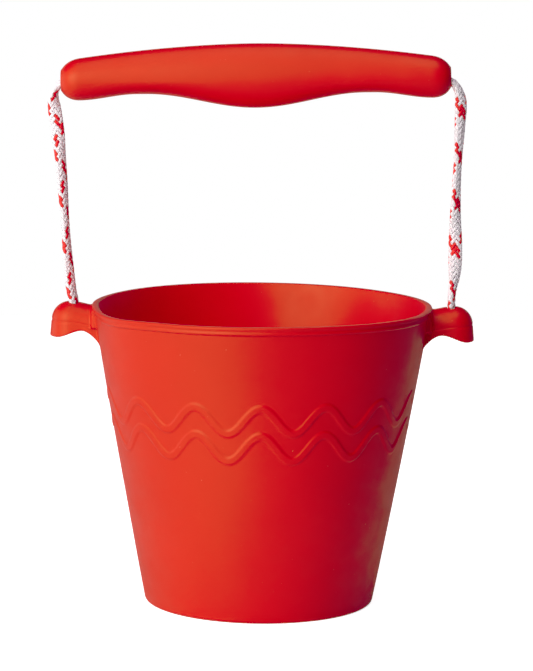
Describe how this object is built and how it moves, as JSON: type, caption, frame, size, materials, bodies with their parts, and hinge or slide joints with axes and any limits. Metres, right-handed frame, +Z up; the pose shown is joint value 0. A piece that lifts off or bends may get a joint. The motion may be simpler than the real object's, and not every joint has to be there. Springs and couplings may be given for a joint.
{
  "type": "sand bucket",
  "caption": "Soft toy sand bucket: round tapered wall with a rolled rim, two hooded ears at the mouth and a rope bail that carries a shaped grip.",
  "frame": {"origin": "centre of the base on the ground", "axes": "+X through the right ear, +Y away from the viewer, +Z up"},
  "size_m": [0.2044, 0.1608, 0.2677],
  "materials": {
    "silicone": "satin",
    "rope": "matte"
  },
  "bodies": {
    "bucket": {"bucket_shell": "silicone", "left_ear": "silicone", "right_ear": "silicone", "left_knot": "rope", "right_knot": "rope"},
    "bail_rope": {"left_rope": "rope", "right_rope": "rope", "core_rope": "rope"},
    "grip": {"grip": "silicone"}
  },
  "joints": [
    {"name": "bail_swing", "type": "hinge", "parent": "bucket", "child": "bail_rope", "pos_m": [0, 0, 0.1482], "axis": [1, 0, 0], "range_deg": [-120, 120]},
    {"name": "grip_roll", "type": "hinge", "parent": "bail_rope", "child": "grip", "pos_m": [-0.0046, 0, 0.251], "axis": [0.9998, 0, 0.0218], "continuous": true}
  ]
}
